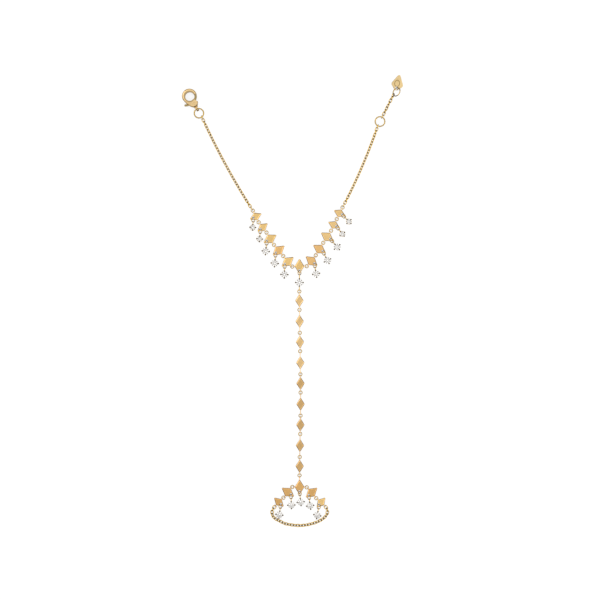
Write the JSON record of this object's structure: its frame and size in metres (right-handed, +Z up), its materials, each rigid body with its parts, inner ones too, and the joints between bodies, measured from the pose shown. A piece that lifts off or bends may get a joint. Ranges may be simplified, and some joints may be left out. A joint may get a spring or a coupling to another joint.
{
  "type": "hand chain bracelet",
  "caption": "Hand chain bracelet: a wrist row of rhombus plates with round stone drops, a line of plates down the hand to a finger loop, and chains to a lobster clasp and a tag.",
  "frame": {"origin": "under the middle of the bracelet's box, on the surface that it lies on", "axes": "+X to the picture's right, +Y from the finger loop to the clasp, +Z up from the surface"},
  "size_m": [0.0882, 0.1806, 0.0029],
  "materials": {
    "plate_gold": "polished yellow gold",
    "wire_gold": "polished yellow gold wire",
    "white_stone": "faceted, polished"
  },
  "bodies": {
    "bracelet": {"wrist_plate_1": "plate_gold", "wrist_plate_2": "plate_gold", "wrist_plate_3": "plate_gold", "wrist_plate_4": "plate_gold", "wrist_plate_5": "plate_gold", "wrist_plate_6": "plate_gold", "wrist_plate_7": "plate_gold", "wrist_plate_8": "plate_gold", "wrist_plate_9": "plate_gold", "wrist_plate_10": "plate_gold", "wrist_plate_11": "plate_gold", "hand_plate_1": "plate_gold", "hand_plate_2": "plate_gold", "hand_plate_3": "plate_gold", "hand_plate_4": "plate_gold", "hand_plate_5": "plate_gold", "hand_plate_6": "plate_gold", "hand_plate_7": "plate_gold", "hand_plate_8": "plate_gold", "hand_plate_9": "plate_gold", "finger_plate_1": "plate_gold", "finger_plate_2": "plate_gold", "finger_plate_3": "plate_gold", "finger_plate_4": "plate_gold", "finger_plate_5": "plate_gold", "wrist_stone_1": "white_stone", "wrist_stone_2": "white_stone", "wrist_stone_3": "white_stone", "wrist_stone_4": "white_stone", "wrist_stone_5": "white_stone", "wrist_stone_6": "white_stone", "wrist_stone_7": "white_stone", "wrist_stone_8": "white_stone", "wrist_stone_9": "white_stone", "wrist_stone_10": "white_stone", "wrist_stone_11": "white_stone", "finger_stone_1": "white_stone", "finger_stone_2": "white_stone", "finger_stone_3": "white_stone", "finger_stone_4": "white_stone", "finger_stone_5": "white_stone", "wrist_settings": "wire_gold", "finger_settings": "wire_gold", "wrist_jump_rings": "wire_gold", "hand_jump_rings": "wire_gold", "finger_jump_rings": "wire_gold", "wrist_drop_rings": "wire_gold", "finger_drop_rings": "wire_gold", "left_chain": "wire_gold", "right_chain": "wire_gold", "extension_chain": "wire_gold", "finger_chain": "wire_gold", "clasp_body": "wire_gold", "clasp_pin": "wire_gold", "clasp_ring": "wire_gold", "sizing_ring": "wire_gold", "end_ring": "wire_gold", "end_tag": "plate_gold"},
    "lever": {"clasp_lever": "wire_gold"}
  },
  "joints": [
    {"name": "clasp_lever_turn", "type": "hinge", "parent": "bracelet", "child": "lever", "pos_m": [-0.0394, 0.07887, 0.0012], "axis": [0, 0, 1], "range_deg": [0, 28], "stiffness_Nm_per_rad": 0.002}
  ]
}
